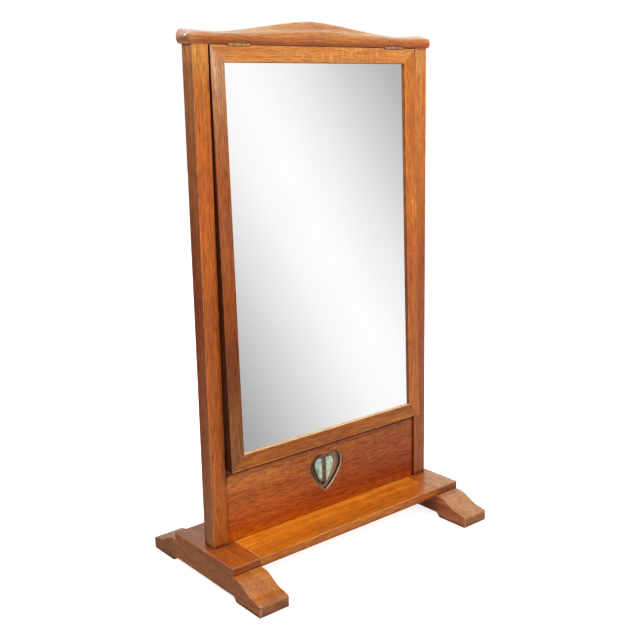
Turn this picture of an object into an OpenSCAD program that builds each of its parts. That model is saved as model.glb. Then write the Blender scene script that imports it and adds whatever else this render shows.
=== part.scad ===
// Oak dressing table mirror: a framed glass hung from a shaped cap rail between two posts, which stand on
// sledge feet with a shelf board between them, and a pierced heart in the lower panel.
// The origin is on the floor, midway between the posts. X runs to the right, Y to the back, Z up.

/* [Posts] */
// Side of the square posts
post_w = 22; // [19:0.5:30]
// Clear width between the posts
post_gap = 339; // [290:1:420]
// Side of the square tenons at both ends of a post
tenon_w = 12; // [8:0.5:14]
// Length of the tenons at both ends of a post
tenon_l = 8; // [6:0.5:8.5]

/* [Shelf] */
// Front to back depth of the shelf
shelf_d = 136; // [116:1:170]
// Thickness of the shelf board
shelf_t = 12; // [11:0.5:20]
// Length of the tongues at both ends of the shelf
tongue_l = 8; // [5:0.5:10]
// Thickness of the tongues
tongue_t = 5; // [4:0.5:6]
// Distance of a tongue from the front edge and from the back edge of the shelf
tongue_in = 14; // [8:1:24]

/* [Feet] */
// Width of a foot
foot_w = 44; // [38:0.5:60]
// How far a foot stands out past the outer face of its post
foot_past = 11; // [6:0.5:24]
// Front to back length of a foot
foot_l = 249; // [236:1:300]
// Height of the underside of the shelf above the floor
foot_h = 30.5; // [27:0.5:40]
// Height of a foot at its ends
foot_end_h = 15; // [13:0.5:20]
// Fall of the toe from the foot of the ogee to the end
toe_fall = 3; // [0:0.5:4]
// Length of the ogee curve on top of a foot
ogee_l = 38; // [30:1:46]
// Flat ledge of the foot in front of the shelf
foot_ledge = 6; // [1:0.5:8]
// Rise of this ledge above the underside of the shelf
ledge_rise = 1; // [0:0.5:2]
// Length of the floor pad at each end of a foot
pad_l = 50; // [30:1:58]
// Height of the relief between the floor pads
arch_h = 6; // [5:0.5:8]
// Length of the curve from a pad up to the relief
arch_run = 7; // [6:0.5:14]

/* [Cap rail] */
// Cap rail length past the outer face of each post
cap_past = 8; // [8:0.5:24]
// Overhang of the cap rail in front of the posts and behind them
cap_over = 3; // [2.5:0.5:7]
// Height of the cap rail at the middle of the hump
cap_peak_h = 31; // [24:0.1:40]
// Height of the cap rail at its two low points
cap_dip_h = 15.2; // [14:0.1:18]
// Height of the cap rail near its ends
cap_end_h = 17.4; // [15:0.1:20]
// Distance of a low point from the end of the rail
cap_dip_in = 50; // [40:1:80]
// Share of straight slope in the flanks of the hump
flank = 0.4; // [0:0.05:0.6]
// Distance of the crest behind the middle of the rail
crest_y = 8; // [4:0.5:9]
// How late the slope rises from the front roll to the crest, at the low points and at the hump
crest_bend = [0.6, 1.9]; // [0.5:0.1:2.4]
// Height of the rounding behind the crest
crest_drop = 5; // [3:0.5:6]
// Height of the nose line, where the rail is deepest
nose_z = 7.5; // [6:0.5:8]
// Depth of the rounding under the nose
nose_under = 3; // [2:0.5:3.5]
// Depth of the rounding above the nose
nose_over = 5; // [3:0.5:6]
// Height of the front roll at the low points
nose_h = 12.6; // [10:0.1:13]
// Share of the hump that the front roll rises with
nose_share = 0.34; // [0.2:0.02:0.8]
// Length of the rounding at the ends of the rail
cap_round = 7; // [5:0.5:8]

/* [Mirror frame] */
// Height of the frame
frame_h = 525; // [440:1:530]
// Thickness of the frame
frame_t = 15; // [13:0.5:17]
// Width of the four mitred members
member_w = 20; // [18:0.5:30]
// Gap between the frame and each post
side_gap = 1.8; // [1:0.1:4]
// How far the top of the frame stands in front of the posts
frame_proud = 0.8; // [0.4:0.1:2]
// Thickness of the lip in front of the glass
lip_t = 3.5; // [2:0.5:4]
// Width of the rebate for the glass
rebate_w = 6; // [4:0.5:8]
// Room at each edge of the glass in its rebate
glass_room = 1; // [0.5:0.1:2]
// Thickness of the mirror glass
glass_t = 4; // [3:0.5:4]
// Thickness of the backboard
board_t = 3; // [2.5:0.5:4]
// Length, width and thickness of the loose keys in the mitres
key_size = [12, 8, 3]; // [2:0.5:14]

/* [Sprigs] */
// Diameter of the sprigs that hold the backboard
sprig_d = 1.2; // [0.8:0.1:1.4]
// Length of a sprig
sprig_l = 11; // [8:0.5:13]
// Length of a sprig inside the wood
sprig_in = 6; // [4:0.5:7]
// Number of sprigs along the top and along the bottom
sprigs_across = 3; // [2:1:5]
// Number of sprigs along each side
sprigs_up = 4; // [2:1:7]

/* [Hinges] */
// Length of a hinge
hinge_l = 31.75; // [24:0.25:40]
// Distance from the edge of the frame to the middle of a hinge
hinge_in = 41.5; // [30:0.5:80]
// Width of a leaf, measured from the pin
leaf_w = 9; // [8:0.5:11]
// Thickness of a leaf
leaf_t = 1.2; // [0.8:0.1:1.4]
// Outer diameter of the knuckles
knuckle_d = 3.6; // [3.4:0.1:4.4]
// Diameter of the hinge pin
pin_d = 1.8; // [1.2:0.1:2]
// Distance of the pin behind the face of the frame
pin_inset = 0.6; // [0.2:0.1:1]
// Share of the hinge length that the middle knuckle takes
knuckle_share = 0.4; // [0.3:0.05:0.5]
// Diameter of a hinge screw
hinge_screw_d = 2; // [1.6:0.1:2.4]
// Diameter of the head of a hinge screw
hinge_head_d = 4; // [3.2:0.1:4.4]
// Length of a hinge screw
hinge_screw_l = 9; // [6:0.5:10]
// Distance of a hinge screw from each end of its leaf
hinge_screw_in = 7; // [5:0.5:9]

/* [Lower panel] */
// Height of the panel above the shelf
panel_h = 125; // [112:0.5:180]
// Thickness of the panel
panel_t = 8; // [6:0.5:10]
// Distance of the panel face behind the face of the posts
panel_back = 3; // [1:0.5:4]
// Depth of the groove in a post that holds the panel
groove_d = 4; // [3:0.5:5]
// Height of the panel that the mirror frame covers
panel_lap = 24; // [15:1:40]
// Width of the heart
heart_w = 58; // [48:1:60]
// Height of the heart
heart_h = 56; // [50:1:58]
// Radius of the two lobes of the heart
heart_lobe_r = 18; // [15:0.5:22]
// Radius of the curved sides of the heart
heart_side_r = 70; // [60:1:120]
// Height of the tip of the heart above the shelf
heart_rise = 25.4; // [22:0.1:30]

/* [Plaque] */
// Width of the plaque inside the heart
plaque_w = 34; // [26:0.5:36]
// Height of the plaque
plaque_h = 43; // [38:0.5:44]
// Radius of the lobes of the plaque
plaque_lobe_r = 10; // [8.5:0.5:12]
// Height of the tip of the plaque above the tip of the heart
plaque_rise = 5.6; // [5:0.1:7]
// Thickness of the plaque
plaque_t = 4; // [2.5:0.5:5]
// Width and depth of the groove down the middle of the plaque
plaque_groove = [7, 1.6]; // [1:0.1:8]
// Thickness of the board behind the heart
backing_t = 5; // [4:0.5:7]
// Margin of that board around the heart
backing_edge = 12; // [8:0.5:14]
// Diameter of the pins that hold the board
backing_pin_d = 1.6; // [1.2:0.1:2]
// Diameter of the head of such a pin
backing_head_d = 3.4; // [2.6:0.1:4]
// Length of such a pin inside the panel
backing_pin_in = 5; // [3:0.5:5.5]

/* [Post screws] */
// Diameter of the screws that hold the posts
screw_d = 4; // [3.5:0.5:5]
// Diameter of their heads
screw_head_d = 8; // [7:0.5:9]
// Height of their heads
screw_head_h = 2.6; // [2:0.2:3.4]
// Wood of the foot between a screw head and the post
screw_wood = 26; // [20:0.5:28]
// Length of a screw above the shelf
post_grip = 34; // [20:1:50]
// Room between a screw head and its counterbore
head_room = 0.5; // [0.3:0.1:1]

/* [Hidden] */
$fn = 48;

// Clearances
pin_gap = 0.04;
screw_gap = 0.04;
knuckle_gap = 0.15;
notch_gap = 0.35;
stop_gap = 0.1;
key_gap = 0.05;
cut = 1;

// Heights
shelf_z = foot_h;
shelf_top = shelf_z + shelf_t;

// Widths
post_in = post_gap / 2;
post_out = post_in + post_w;
foot_half = post_out + foot_past;
shelf_half = foot_half - foot_w;
cap_half = post_out + cap_past;
cap_deep = post_w / 2 + cap_over;
post_x = post_in + post_w / 2;

// Hinge line and mirror frame, whose own zero is on the hinge line
leaf_gap = knuckle_d - 2 * leaf_t;
pin_y = -post_w / 2 - frame_proud + pin_inset;
frame_half = post_in - side_gap;
frame_front = -pin_inset;
frame_back = frame_front + frame_t;
frame_top = -leaf_gap / 2;
frame_bot = frame_top - frame_h;
glass_front = frame_front + lip_t;
board_front = glass_front + glass_t;
board_back = board_front + board_t;
glass_half = frame_half - member_w + rebate_w - glass_room;
glass_top = frame_top - member_w + rebate_w - glass_room;
glass_bot = frame_bot + member_w - rebate_w + glass_room;
hinge_x = frame_half - hinge_in;

// The frame hangs with its back against the top edge of the panel, which sets the height of the posts
panel_y = -post_w / 2 + panel_back;
reach_y = panel_y - stop_gap - pin_y;
lap_z = frame_bot + panel_lap;
hang = acos(reach_y / norm([frame_back, lap_z])) - atan2(-lap_z, frame_back);
pin_z = shelf_top + panel_h - lap_z * cos(hang) + frame_back * sin(hang);
cap_z = pin_z + leaf_gap / 2;
post_len = cap_z - shelf_top;

// Heart
heart_z = shelf_top + heart_rise;
backing_y = panel_y + panel_t;
pin_inboard = backing_edge / 2;

// Screws
screw_top = shelf_top - screw_wood;
head_r = screw_head_d / 2;
shank_r = screw_d / 2;

// Points of an arc, from angle a0 to a1, with separate radii across and up
function arc(c, r, a0, a1, n) =
    [for (i = [0:n]) let (a = a0 + (a1 - a0) * i / n) [c.x + r.x * cos(a), c.y + r.y * sin(a)]];

// Smooth rise from 0 to 1
function ease(t) = (1 - cos(180 * t)) / 2;

// Left half of a heart with its tip at the origin: a side arc that runs into a lobe arc
function half_heart(w, h, lobe, side) =
    let (
        l = [lobe - w / 2, h - lobe],
        d = norm(l),
        turn = acos((d * d + side * side - (side - lobe) * (side - lobe)) / (2 * d * side)),
        a = atan2(l.y, l.x) - turn,
        c = side * [cos(a), sin(a)],
        join = atan2(l.y - c.y, l.x - c.x) + 360,
        tip = a + 180,
        notch = acos(-l.x / lobe)
    )
    concat(arc(c, [side, side], tip, join, 12), arc(l, [lobe, lobe], join - 360, notch - 360, 18));

// Whole heart, the left half and its mirror image as one outline
module heart(w, h, lobe, side) {
    half = half_heart(w, h, lobe, side);
    polygon(concat(half, [for (i = [len(half) - 2:-1:1]) [-half[i].x, half[i].y]]));
}

// Stands a drawn outline up in the XZ plane, with its face at y and its thickness behind it
module upright(y, t) {
    translate([0, y + t, 0]) rotate([90, 0, 0]) linear_extrude(t) children();
}

// Places a piece of the mirror frame, which hangs from the hinge line
module hung() {
    translate([0, pin_y, pin_z]) rotate([-hang, 0, 0]) children();
}

// Screw with a flat head, head down at the origin and shank up
module flat_screw(l) {
    slot_w = screw_head_h / 3;
    difference() {
        translate([0, 0, -screw_head_h]) cylinder(r = head_r, h = screw_head_h);
        translate([-head_r - cut, -slot_w / 2, -screw_head_h - cut])
            cube([2 * (head_r + cut), slot_w, cut + slot_w]);
    }
    cylinder(r = shank_r, h = l);
}

// Countersunk screw, with the face of its head at the origin and its shank up
module sunk_screw(room = 0) {
    r = hinge_screw_d / 2 + room;
    cylinder(r1 = hinge_head_d / 2 + room, r2 = r, h = leaf_t);
    cylinder(r = r, h = hinge_screw_l + room);
}

// Side outline of a foot, front half, from the middle of the relief round to the middle of the top
function half_foot() =
    let (
        end = foot_l / 2,
        pad = end - pad_l,
        step = shelf_d / 2,
        ledge = step + foot_ledge,
        toe = min(ledge + ogee_l, end - 1),
        toe_h = foot_end_h + toe_fall,
        ledge_h = foot_h + ledge_rise
    )
    concat(
        [for (i = [0:8]) [pad - arch_run * (1 - i / 8), arch_h * ease(1 - i / 8)]],
        [[end, 0], [end, foot_end_h]],
        [for (i = [0:16]) [toe + (ledge - toe) * i / 16, toe_h + (ledge_h - toe_h) * ease(i / 16)]],
        [[step, ledge_h], [step, shelf_top]]
    );

module foot(side) {
    half = half_foot();
    outline = concat(half, [for (i = [len(half) - 1:-1:0]) [-half[i].x, half[i].y]]);
    color("saddlebrown") difference() {
        translate([side > 0 ? shelf_half : -foot_half, 0, 0])
            rotate([90, 0, 90]) linear_extrude(foot_w) polygon(outline);
        shelf_tongue(side, cut);
        translate([side * post_x, 0, 0]) {
            translate([-tenon_w / 2, -tenon_w / 2, shelf_top - tenon_l])
                cube([tenon_w, tenon_w, tenon_l + cut]);
            translate([0, 0, -cut]) cylinder(r = shank_r + screw_gap, h = shelf_top + cut);
            translate([0, 0, -cut]) cylinder(r = head_r + head_room, h = screw_top + cut);
        }
    }
}

// Tongue at one end of the shelf, with more length at its root where it cuts a groove
module shelf_tongue(side, root = 0) {
    from = shelf_half - root;
    translate([side > 0 ? from : -shelf_half - tongue_l, tongue_in - shelf_d / 2,
        shelf_z + (shelf_t - tongue_t) / 2])
        cube([tongue_l + root, shelf_d - 2 * tongue_in, tongue_t]);
}

module shelf() {
    color("chocolate") union() {
        translate([-shelf_half, -shelf_d / 2, shelf_z]) cube([2 * shelf_half, shelf_d, shelf_t]);
        for (side = [-1, 1])
            shelf_tongue(side);
    }
}

module post(side) {
    color("peru") difference() {
        union() {
            translate([side * post_x - post_w / 2, -post_w / 2, shelf_top]) cube([post_w, post_w, post_len]);
            translate([side * post_x - tenon_w / 2, -tenon_w / 2, shelf_top - tenon_l])
                cube([tenon_w, tenon_w, post_len + 2 * tenon_l]);
        }
        translate([side > 0 ? post_in - cut : -post_in - groove_d, panel_y, shelf_top - tenon_l - cut])
            cube([groove_d + cut, panel_t, panel_h + tenon_l + cut]);
        translate([side * post_x, 0, shelf_top - tenon_l - cut])
            cylinder(r = shank_r + screw_gap, h = post_grip + tenon_l + cut + screw_gap);
    }
}

// Height of the cap rail at distance x from its middle
function cap_h(x) =
    let (a = abs(x), dip = cap_half - cap_dip_in)
    a < dip
        ? cap_dip_h + (cap_peak_h - cap_dip_h) * (ease(1 - a / dip) * (1 - flank) + (1 - a / dip) * flank)
        : cap_dip_h + (cap_end_h - cap_dip_h) * ease((a - dip) / cap_dip_in);

// Section of the cap rail, from the front of the underside over the roll and the crest to its back
function cap_profile(h) =
    let (
        roll_h = nose_h + nose_share * (h - cap_dip_h),
        roll_y = -cap_deep + nose_over,
        bend = crest_bend[0] + (crest_bend[1] - crest_bend[0]) * (h - cap_dip_h) / (cap_peak_h - cap_dip_h)
    )
    concat(
        arc([-cap_deep + nose_under, nose_z], [nose_under, nose_z], 270, 180, 6),
        arc([roll_y, nose_z], [nose_over, roll_h - nose_z], 165, 90, 5),
        [for (i = [1:9]) let (t = i / 10)
            [roll_y + (crest_y - roll_y) * t, roll_h + (h - roll_h) * ease(pow(t, bend))]],
        arc([crest_y, h - crest_drop], [cap_deep - crest_y, crest_drop], 90, 0, 5),
        arc([cap_deep - nose_under, nose_z], [nose_under, nose_z], 0, -90, 6)
    );

// Whole section at x, drawn in towards the nose line by the factor e at the rounded ends
function cap_section(x, e) =
    let (narrow = 1 - cap_round * (1 - e) / cap_deep)
    [for (p = cap_profile(cap_h(x))) [x, p.x * narrow, nose_z + (p.y - nose_z) * e]];

module cap_solid() {
    last = 83;
    round_steps = 7;
    steps = 40;
    straight = cap_half - cap_round;
    left_end = [for (i = [round_steps:-1:1]) let (a = last * i / round_steps)
        [-straight - cap_round * sin(a) / sin(last), cos(a)]];
    middle = [for (i = [0:steps]) [-straight + 2 * straight * i / steps, 1]];
    right_end = [for (i = [round_steps - 1:-1:0]) [-left_end[i].x, left_end[i].y]];
    stations = concat(left_end, middle, right_end);
    points = [for (s = stations) each cap_section(s.x, s.y)];
    n = len(cap_section(0, 1));
    last_ring = len(stations) - 1;
    faces = concat(
        [[for (i = [n - 1:-1:0]) i]],
        [[for (i = [0:n - 1]) last_ring * n + i]],
        [for (r = [0:last_ring - 1], i = [0:n - 1]) [r * n + i, r * n + (i + 1) % n, (r + 1) * n + i]],
        [for (r = [0:last_ring - 1], i = [0:n - 1])
            [r * n + (i + 1) % n, (r + 1) * n + (i + 1) % n, (r + 1) * n + i]]
    );
    translate([0, 0, cap_z]) polyhedron(points, faces, convexity = 4);
}

module cap_rail() {
    color("chocolate") difference() {
        cap_solid();
        for (side = [-1, 1]) {
            translate([side * post_x - tenon_w / 2, -tenon_w / 2, cap_z - cut])
                cube([tenon_w, tenon_w, tenon_l + cut]);
            translate([side * hinge_x, pin_y, pin_z]) {
                translate([-hinge_l / 2, 0, -cut]) cube([hinge_l, leaf_w, knuckle_d / 2 + cut]);
                rotate([0, 90, 0])
                    cylinder(r = knuckle_d / 2 + notch_gap, h = hinge_l + 2 * notch_gap, center = true);
                at_leaf_screws() sunk_screw(screw_gap);
            }
        }
    }
}

// Copies a piece to the two screws of a leaf, on the leaf face that shows when the hinge is open
module at_leaf_screws() {
    for (end = [-1, 1])
        translate([end * (hinge_l / 2 - hinge_screw_in), (leaf_w + knuckle_d / 2) / 2, leaf_gap / 2])
            children();
}

module lower_panel() {
    color("sienna") difference() {
        translate([-post_in - groove_d, panel_y, shelf_top])
            cube([2 * (post_in + groove_d), panel_t, panel_h]);
        translate([0, 0, heart_z])
            upright(panel_y - cut, panel_t + 2 * cut) heart(heart_w, heart_h, heart_lobe_r, heart_side_r);
        at_backing_pins() backing_pin(screw_gap);
    }
}

module heart_plaque() {
    groove_r = plaque_groove.x * plaque_groove.x / (8 * plaque_groove.y) + plaque_groove.y / 2;
    color("darkseagreen") translate([0, 0, heart_z + plaque_rise]) difference() {
        upright(backing_y - plaque_t, plaque_t)
            heart(plaque_w, plaque_h, plaque_lobe_r, heart_side_r * plaque_h / heart_h);
        translate([0, backing_y - plaque_t + plaque_groove.y - groove_r, -cut])
            cylinder(r = groove_r, h = plaque_h + 2 * cut);
    }
}

// Pin that holds the board behind the heart, its head against the board and its shank forward
module backing_pin(room = 0) {
    rotate([90, 0, 0]) cylinder(r = backing_pin_d / 2 + room, h = backing_t + backing_pin_in + room);
}

// Copies a piece to the four corners of the board behind the heart
module at_backing_pins() {
    for (side = [-1, 1])
        for (z = [-backing_edge + pin_inboard, heart_h + backing_edge - pin_inboard])
            translate([side * (heart_w / 2 + backing_edge - pin_inboard), backing_y + backing_t, heart_z + z])
                children();
}

module plaque_backing() {
    color("sienna") difference() {
        translate([-heart_w / 2 - backing_edge, backing_y, heart_z - backing_edge])
            cube([heart_w + 2 * backing_edge, backing_t, heart_h + 2 * backing_edge]);
        at_backing_pins() translate([0, cut, 0]) rotate([90, 0, 0])
            cylinder(r = backing_pin_d / 2 + screw_gap, h = backing_t + 2 * cut);
    }
}

module plaque_backing_pins() {
    head_h = backing_pin_d / 2;
    color("goldenrod") at_backing_pins() {
        backing_pin();
        rotate([-90, 0, 0]) cylinder(r = backing_head_d / 2, h = head_h);
    }
}

module post_screws() {
    color("dimgray") for (side = [-1, 1])
        translate([side * post_x, 0, screw_top]) flat_screw(screw_wood + post_grip);
}

// Leaf and knuckles of a hinge half, above its pin, with the named stretches of its length as knuckles
module hinge_half(stretches) {
    r = knuckle_d / 2;
    difference() {
        union() {
            translate([-hinge_l / 2, 0, leaf_gap / 2]) cube([hinge_l, leaf_w, leaf_t]);
            for (s = stretches)
                translate([s[0], 0, 0]) rotate([0, 90, 0]) cylinder(r = r, h = s[1] - s[0]);
        }
        for (g = hinge_gaps(stretches))
            translate([g[0], 0, 0]) rotate([0, 90, 0]) cylinder(r = r + notch_gap, h = g[1] - g[0]);
        rotate([0, 90, 0]) cylinder(r = pin_d / 2 + pin_gap, h = hinge_l + 2 * cut, center = true);
        at_leaf_screws() sunk_screw(screw_gap);
    }
}

middle_l = hinge_l * knuckle_share;
outer_knuckles = [[-hinge_l / 2, -middle_l / 2 - knuckle_gap], [middle_l / 2 + knuckle_gap, hinge_l / 2]];
middle_knuckle = [[-middle_l / 2, middle_l / 2]];

// Stretches of a leaf that make room for the other half's knuckles
function hinge_gaps(stretches) =
    len(stretches) == 2
        ? [[stretches[0][1], stretches[1][0]]]
        : [[-hinge_l / 2 - cut, stretches[0][0] - knuckle_gap],
            [stretches[0][1] + knuckle_gap, hinge_l / 2 + cut]];

module cap_leaf(side) {
    color("goldenrod") translate([side * hinge_x, pin_y, pin_z]) hinge_half(outer_knuckles);
}

module frame_leaf(side) {
    color("goldenrod") hung() translate([side * hinge_x, 0, 0]) mirror([0, 0, 1]) hinge_half(middle_knuckle);
}

module hinge_pin(side) {
    color("darkgoldenrod") translate([side * hinge_x - hinge_l / 2, pin_y, pin_z])
        rotate([0, 90, 0]) cylinder(r = pin_d / 2, h = hinge_l);
}

// Hinge screw with a driver slot across its head
module slotted_screw() {
    slot_w = hinge_head_d / 8;
    difference() {
        sunk_screw();
        translate([-hinge_head_d, -slot_w / 2, -cut]) cube([2 * hinge_head_d, slot_w, cut + slot_w]);
    }
}

module hinge_cap_screws() {
    color("gold") for (side = [-1, 1])
        translate([side * hinge_x, pin_y, pin_z]) at_leaf_screws() slotted_screw();
}

module hinge_frame_screws() {
    color("gold") hung() for (side = [-1, 1])
        translate([side * hinge_x, 0, 0]) mirror([0, 0, 1]) at_leaf_screws() slotted_screw();
}

// Room in the top rail for the hinges and their screws
module hinge_room() {
    for (side = [-1, 1])
        translate([side * hinge_x, 0, 0]) mirror([0, 0, 1]) {
            translate([-hinge_l / 2, 0, 0]) cube([hinge_l, leaf_w, knuckle_d / 2]);
            rotate([0, 90, 0])
                cylinder(r = knuckle_d / 2 + notch_gap, h = hinge_l + 2 * notch_gap, center = true);
            at_leaf_screws() sunk_screw(screw_gap);
        }
}

// Mitred member of the frame along the edge from corner a to corner b, with i and j its inner corners
module member(a, b, i, j) {
    difference() {
        upright(frame_front, frame_t) polygon([a, b, j, i]);
        translate([-frame_half + member_w - rebate_w, glass_front, frame_bot + member_w - rebate_w])
            cube([2 * (frame_half - member_w + rebate_w), frame_t, frame_h - 2 * (member_w - rebate_w)]);
        corner_keys(key_gap);
        sprigs(screw_gap);
    }
}

outer_x = [-frame_half, frame_half];
inner_x = [-frame_half + member_w, frame_half - member_w];
outer_z = [frame_bot, frame_top];
inner_z = [frame_bot + member_w, frame_top - member_w];

// Loose keys across the mitres, in the solid part of the members
module corner_keys(room = 0) {
    solid_w = member_w - rebate_w;
    centre = solid_w * 0.6;
    size = [key_size.x, key_size.z, key_size.y] + 2 * room * [1, 1, 1];
    y = (frame_front + frame_back) / 2;
    for (right = [0, 1])
        for (top = [0, 1])
            translate([(2 * right - 1) * (frame_half - centre), y,
                top == 1 ? frame_top - centre : frame_bot + centre])
                rotate([0, right == top ? 45 : -45, 0]) cube(size, center = true);
}

// One sprig, pointing up out of the wood at the origin
module sprig(room = 0) {
    translate([0, 0, -sprig_in - room]) cylinder(r = sprig_d / 2 + room, h = sprig_l + room);
}

// Sprigs round the rebate, lying against the backboard
module sprigs(room = 0) {
    y = board_back + sprig_d / 2 + key_gap;
    wall_x = frame_half - member_w + rebate_w;
    wall_top = frame_top - member_w + rebate_w;
    wall_bot = frame_bot + member_w - rebate_w;
    for (i = [1:sprigs_across]) {
        x = -wall_x + 2 * wall_x * (i - 0.5) / sprigs_across;
        translate([x, y, wall_bot]) sprig(room);
        translate([x, y, wall_top]) mirror([0, 0, 1]) sprig(room);
    }
    for (i = [1:sprigs_up]) {
        z = wall_bot + (wall_top - wall_bot) * (i - 0.5) / sprigs_up;
        translate([-wall_x, y, z]) rotate([0, 90, 0]) sprig(room);
        translate([wall_x, y, z]) rotate([0, -90, 0]) sprig(room);
    }
}

module frame_top_rail() {
    color("peru") hung() difference() {
        member([outer_x[0], outer_z[1]], [outer_x[1], outer_z[1]],
            [inner_x[0], inner_z[1]], [inner_x[1], inner_z[1]]);
        hinge_room();
    }
}

module frame_bottom_rail() {
    color("peru") hung() member([outer_x[0], outer_z[0]], [outer_x[1], outer_z[0]],
        [inner_x[0], inner_z[0]], [inner_x[1], inner_z[0]]);
}

module frame_stile(right) {
    color("sandybrown") hung() member([outer_x[right], outer_z[0]], [outer_x[right], outer_z[1]],
        [inner_x[right], inner_z[0]], [inner_x[right], inner_z[1]]);
}

module frame_corner_keys() {
    color("burlywood") hung() corner_keys();
}

module glass_sheet(y, t) {
    translate([-glass_half, y, glass_bot]) cube([2 * glass_half, t, glass_top - glass_bot]);
}

module mirror_glass() {
    color("lightgray") hung() glass_sheet(glass_front, glass_t);
}

module frame_backboard() {
    color("tan") hung() glass_sheet(board_front, board_t);
}

module backboard_sprigs() {
    color("gray") hung() sprigs();
}

foot(-1);  // left_foot
foot(1);  // right_foot
shelf();
post(-1);  // left_post
post(1);  // right_post
cap_rail();
lower_panel();
heart_plaque();
plaque_backing();
plaque_backing_pins();
post_screws();
cap_leaf(-1);  // left_hinge_cap_leaf
cap_leaf(1);  // right_hinge_cap_leaf
hinge_pin(-1);  // left_hinge_pin
hinge_pin(1);  // right_hinge_pin
hinge_cap_screws();
frame_top_rail();
frame_bottom_rail();
frame_stile(0);  // frame_left_stile
frame_stile(1);  // frame_right_stile
frame_corner_keys();
mirror_glass();
frame_backboard();
backboard_sprigs();
frame_leaf(-1);  // left_hinge_frame_leaf
frame_leaf(1);  // right_hinge_frame_leaf
hinge_frame_screws();
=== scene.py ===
import math

import bmesh
import bpy
from mathutils import Matrix, Vector


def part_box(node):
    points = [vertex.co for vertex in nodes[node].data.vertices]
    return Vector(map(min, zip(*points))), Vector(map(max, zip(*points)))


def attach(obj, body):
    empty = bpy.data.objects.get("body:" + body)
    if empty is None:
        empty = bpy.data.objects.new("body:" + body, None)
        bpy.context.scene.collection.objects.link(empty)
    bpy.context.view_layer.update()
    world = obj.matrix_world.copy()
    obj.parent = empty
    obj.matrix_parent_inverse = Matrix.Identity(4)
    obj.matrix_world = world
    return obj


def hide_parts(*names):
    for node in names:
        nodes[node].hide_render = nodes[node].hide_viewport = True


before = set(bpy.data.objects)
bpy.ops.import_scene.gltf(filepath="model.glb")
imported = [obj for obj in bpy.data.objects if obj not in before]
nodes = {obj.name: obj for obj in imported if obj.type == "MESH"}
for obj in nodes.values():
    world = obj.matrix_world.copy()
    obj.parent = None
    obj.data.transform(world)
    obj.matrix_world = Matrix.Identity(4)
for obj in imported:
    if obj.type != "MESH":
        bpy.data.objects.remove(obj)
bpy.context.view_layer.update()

MM = 0.001

# Places on the object, in metres, from the parts in model.glb
TENON = 8 * MM
SHELF_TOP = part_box("shelf")[1].z
FOOT_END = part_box("left_foot")[1].y
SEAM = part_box("right_foot")[0].x
POST_IN = -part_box("left_post")[1].x
POST_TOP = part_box("left_post")[1].z - TENON
CAP_LOW, CAP_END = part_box("cap_rail")[0].z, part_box("cap_rail")[1].x
RAIL_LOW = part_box("frame_bottom_rail")[0].z
FRAME_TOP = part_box("frame_top_rail")[1].z
FRAME_SIDE = -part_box("frame_left_stile")[0].x
GLASS_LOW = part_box("mirror_glass")[0].z
PANEL_LOW, PANEL_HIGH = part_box("lower_panel")
PLAQUE_LOW, PLAQUE_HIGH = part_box("heart_plaque")


# Shader nodes
def feed(tree, node, values):
    """Gives a node its inputs. A value that is a socket is linked, and any other is set."""
    for key, value in values.items():
        if isinstance(value, bpy.types.NodeSocket):
            tree.links.new(value, node.inputs[key])
        else:
            node.inputs[key].default_value = value


def add(tree, kind, values=None, **settings):
    """A new shader node with these inputs and settings."""
    node = tree.nodes.new(kind)
    for key, value in settings.items():
        setattr(node, key, value)
    feed(tree, node, values or {})
    return node


def math_node(tree, operation, a, b=0.0, clamp=False):
    return add(tree, "ShaderNodeMath", {0: a, 1: b}, operation=operation, use_clamp=clamp).outputs[0]


def times(tree, a, b):
    return math_node(tree, "MULTIPLY", a, b)


def plus(tree, a, b, clamp=False):
    return math_node(tree, "ADD", a, b, clamp)


def vector_math(tree, operation, a, b):
    return add(tree, "ShaderNodeVectorMath", {0: a, 1: b}, operation=operation).outputs


def shift(tree, vector, by):
    return vector_math(tree, "ADD", vector, by)["Vector"]


def stretch(tree, vector, x, y, z):
    return vector_math(tree, "MULTIPLY", vector, (x, y, z))["Vector"]


def dot(tree, vector, way):
    return vector_math(tree, "DOT_PRODUCT", vector, way)["Value"]


def split(tree, vector):
    """The x, y and z of a vector."""
    return add(tree, "ShaderNodeSeparateXYZ", {0: vector}).outputs


def position(tree):
    """The place on the object."""
    return add(tree, "ShaderNodeTexCoord").outputs["Object"]


def span(tree, value, low, high, to_low=0.0, to_high=1.0, smooth=True):
    """Goes from to_low to to_high while the value goes from low to high, and stays there beyond them."""
    return add(tree, "ShaderNodeMapRange", {0: value, 1: low, 2: high, 3: to_low, 4: to_high},
               interpolation_type="SMOOTHSTEP" if smooth else "LINEAR").outputs[0]


def blend(tree, factor, a, b, kind="MIX"):
    """A mix of two colours. Inputs 6 and 7 and output 2 are the node's colour sockets."""
    values = {0: factor, 6: a, 7: b}
    return add(tree, "ShaderNodeMix", values, data_type="RGBA", blend_type=kind).outputs[2]


def noise(tree, vector, scale=1.0, detail=2.0, rough=0.5, distortion=0.0, output=0):
    """Noise as a value (output 0) or as a colour (output 1)."""
    values = {"Vector": vector, "Scale": scale, "Detail": detail, "Roughness": rough}
    values["Distortion"] = distortion
    return add(tree, "ShaderNodeTexNoise", values).outputs[output]


def ramp(tree, value, stops):
    """Colour by value. Each stop is a value and its colour."""
    node = add(tree, "ShaderNodeValToRGB", {0: value})
    elements = node.color_ramp.elements
    elements[0].position, elements[0].color = stops[0]
    elements[1].position, elements[1].color = stops[-1]
    for at, colour in stops[1:-1]:
        elements.new(at).color = colour
    return node.outputs[0]


def bump(tree, height, strength, distance, base=None):
    """A normal that follows the height, over the base normal where there is one."""
    values = {"Strength": strength, "Distance": distance, "Height": height}
    if base is not None:
        values["Normal"] = base
    return add(tree, "ShaderNodeBump", values).outputs[0]


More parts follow.
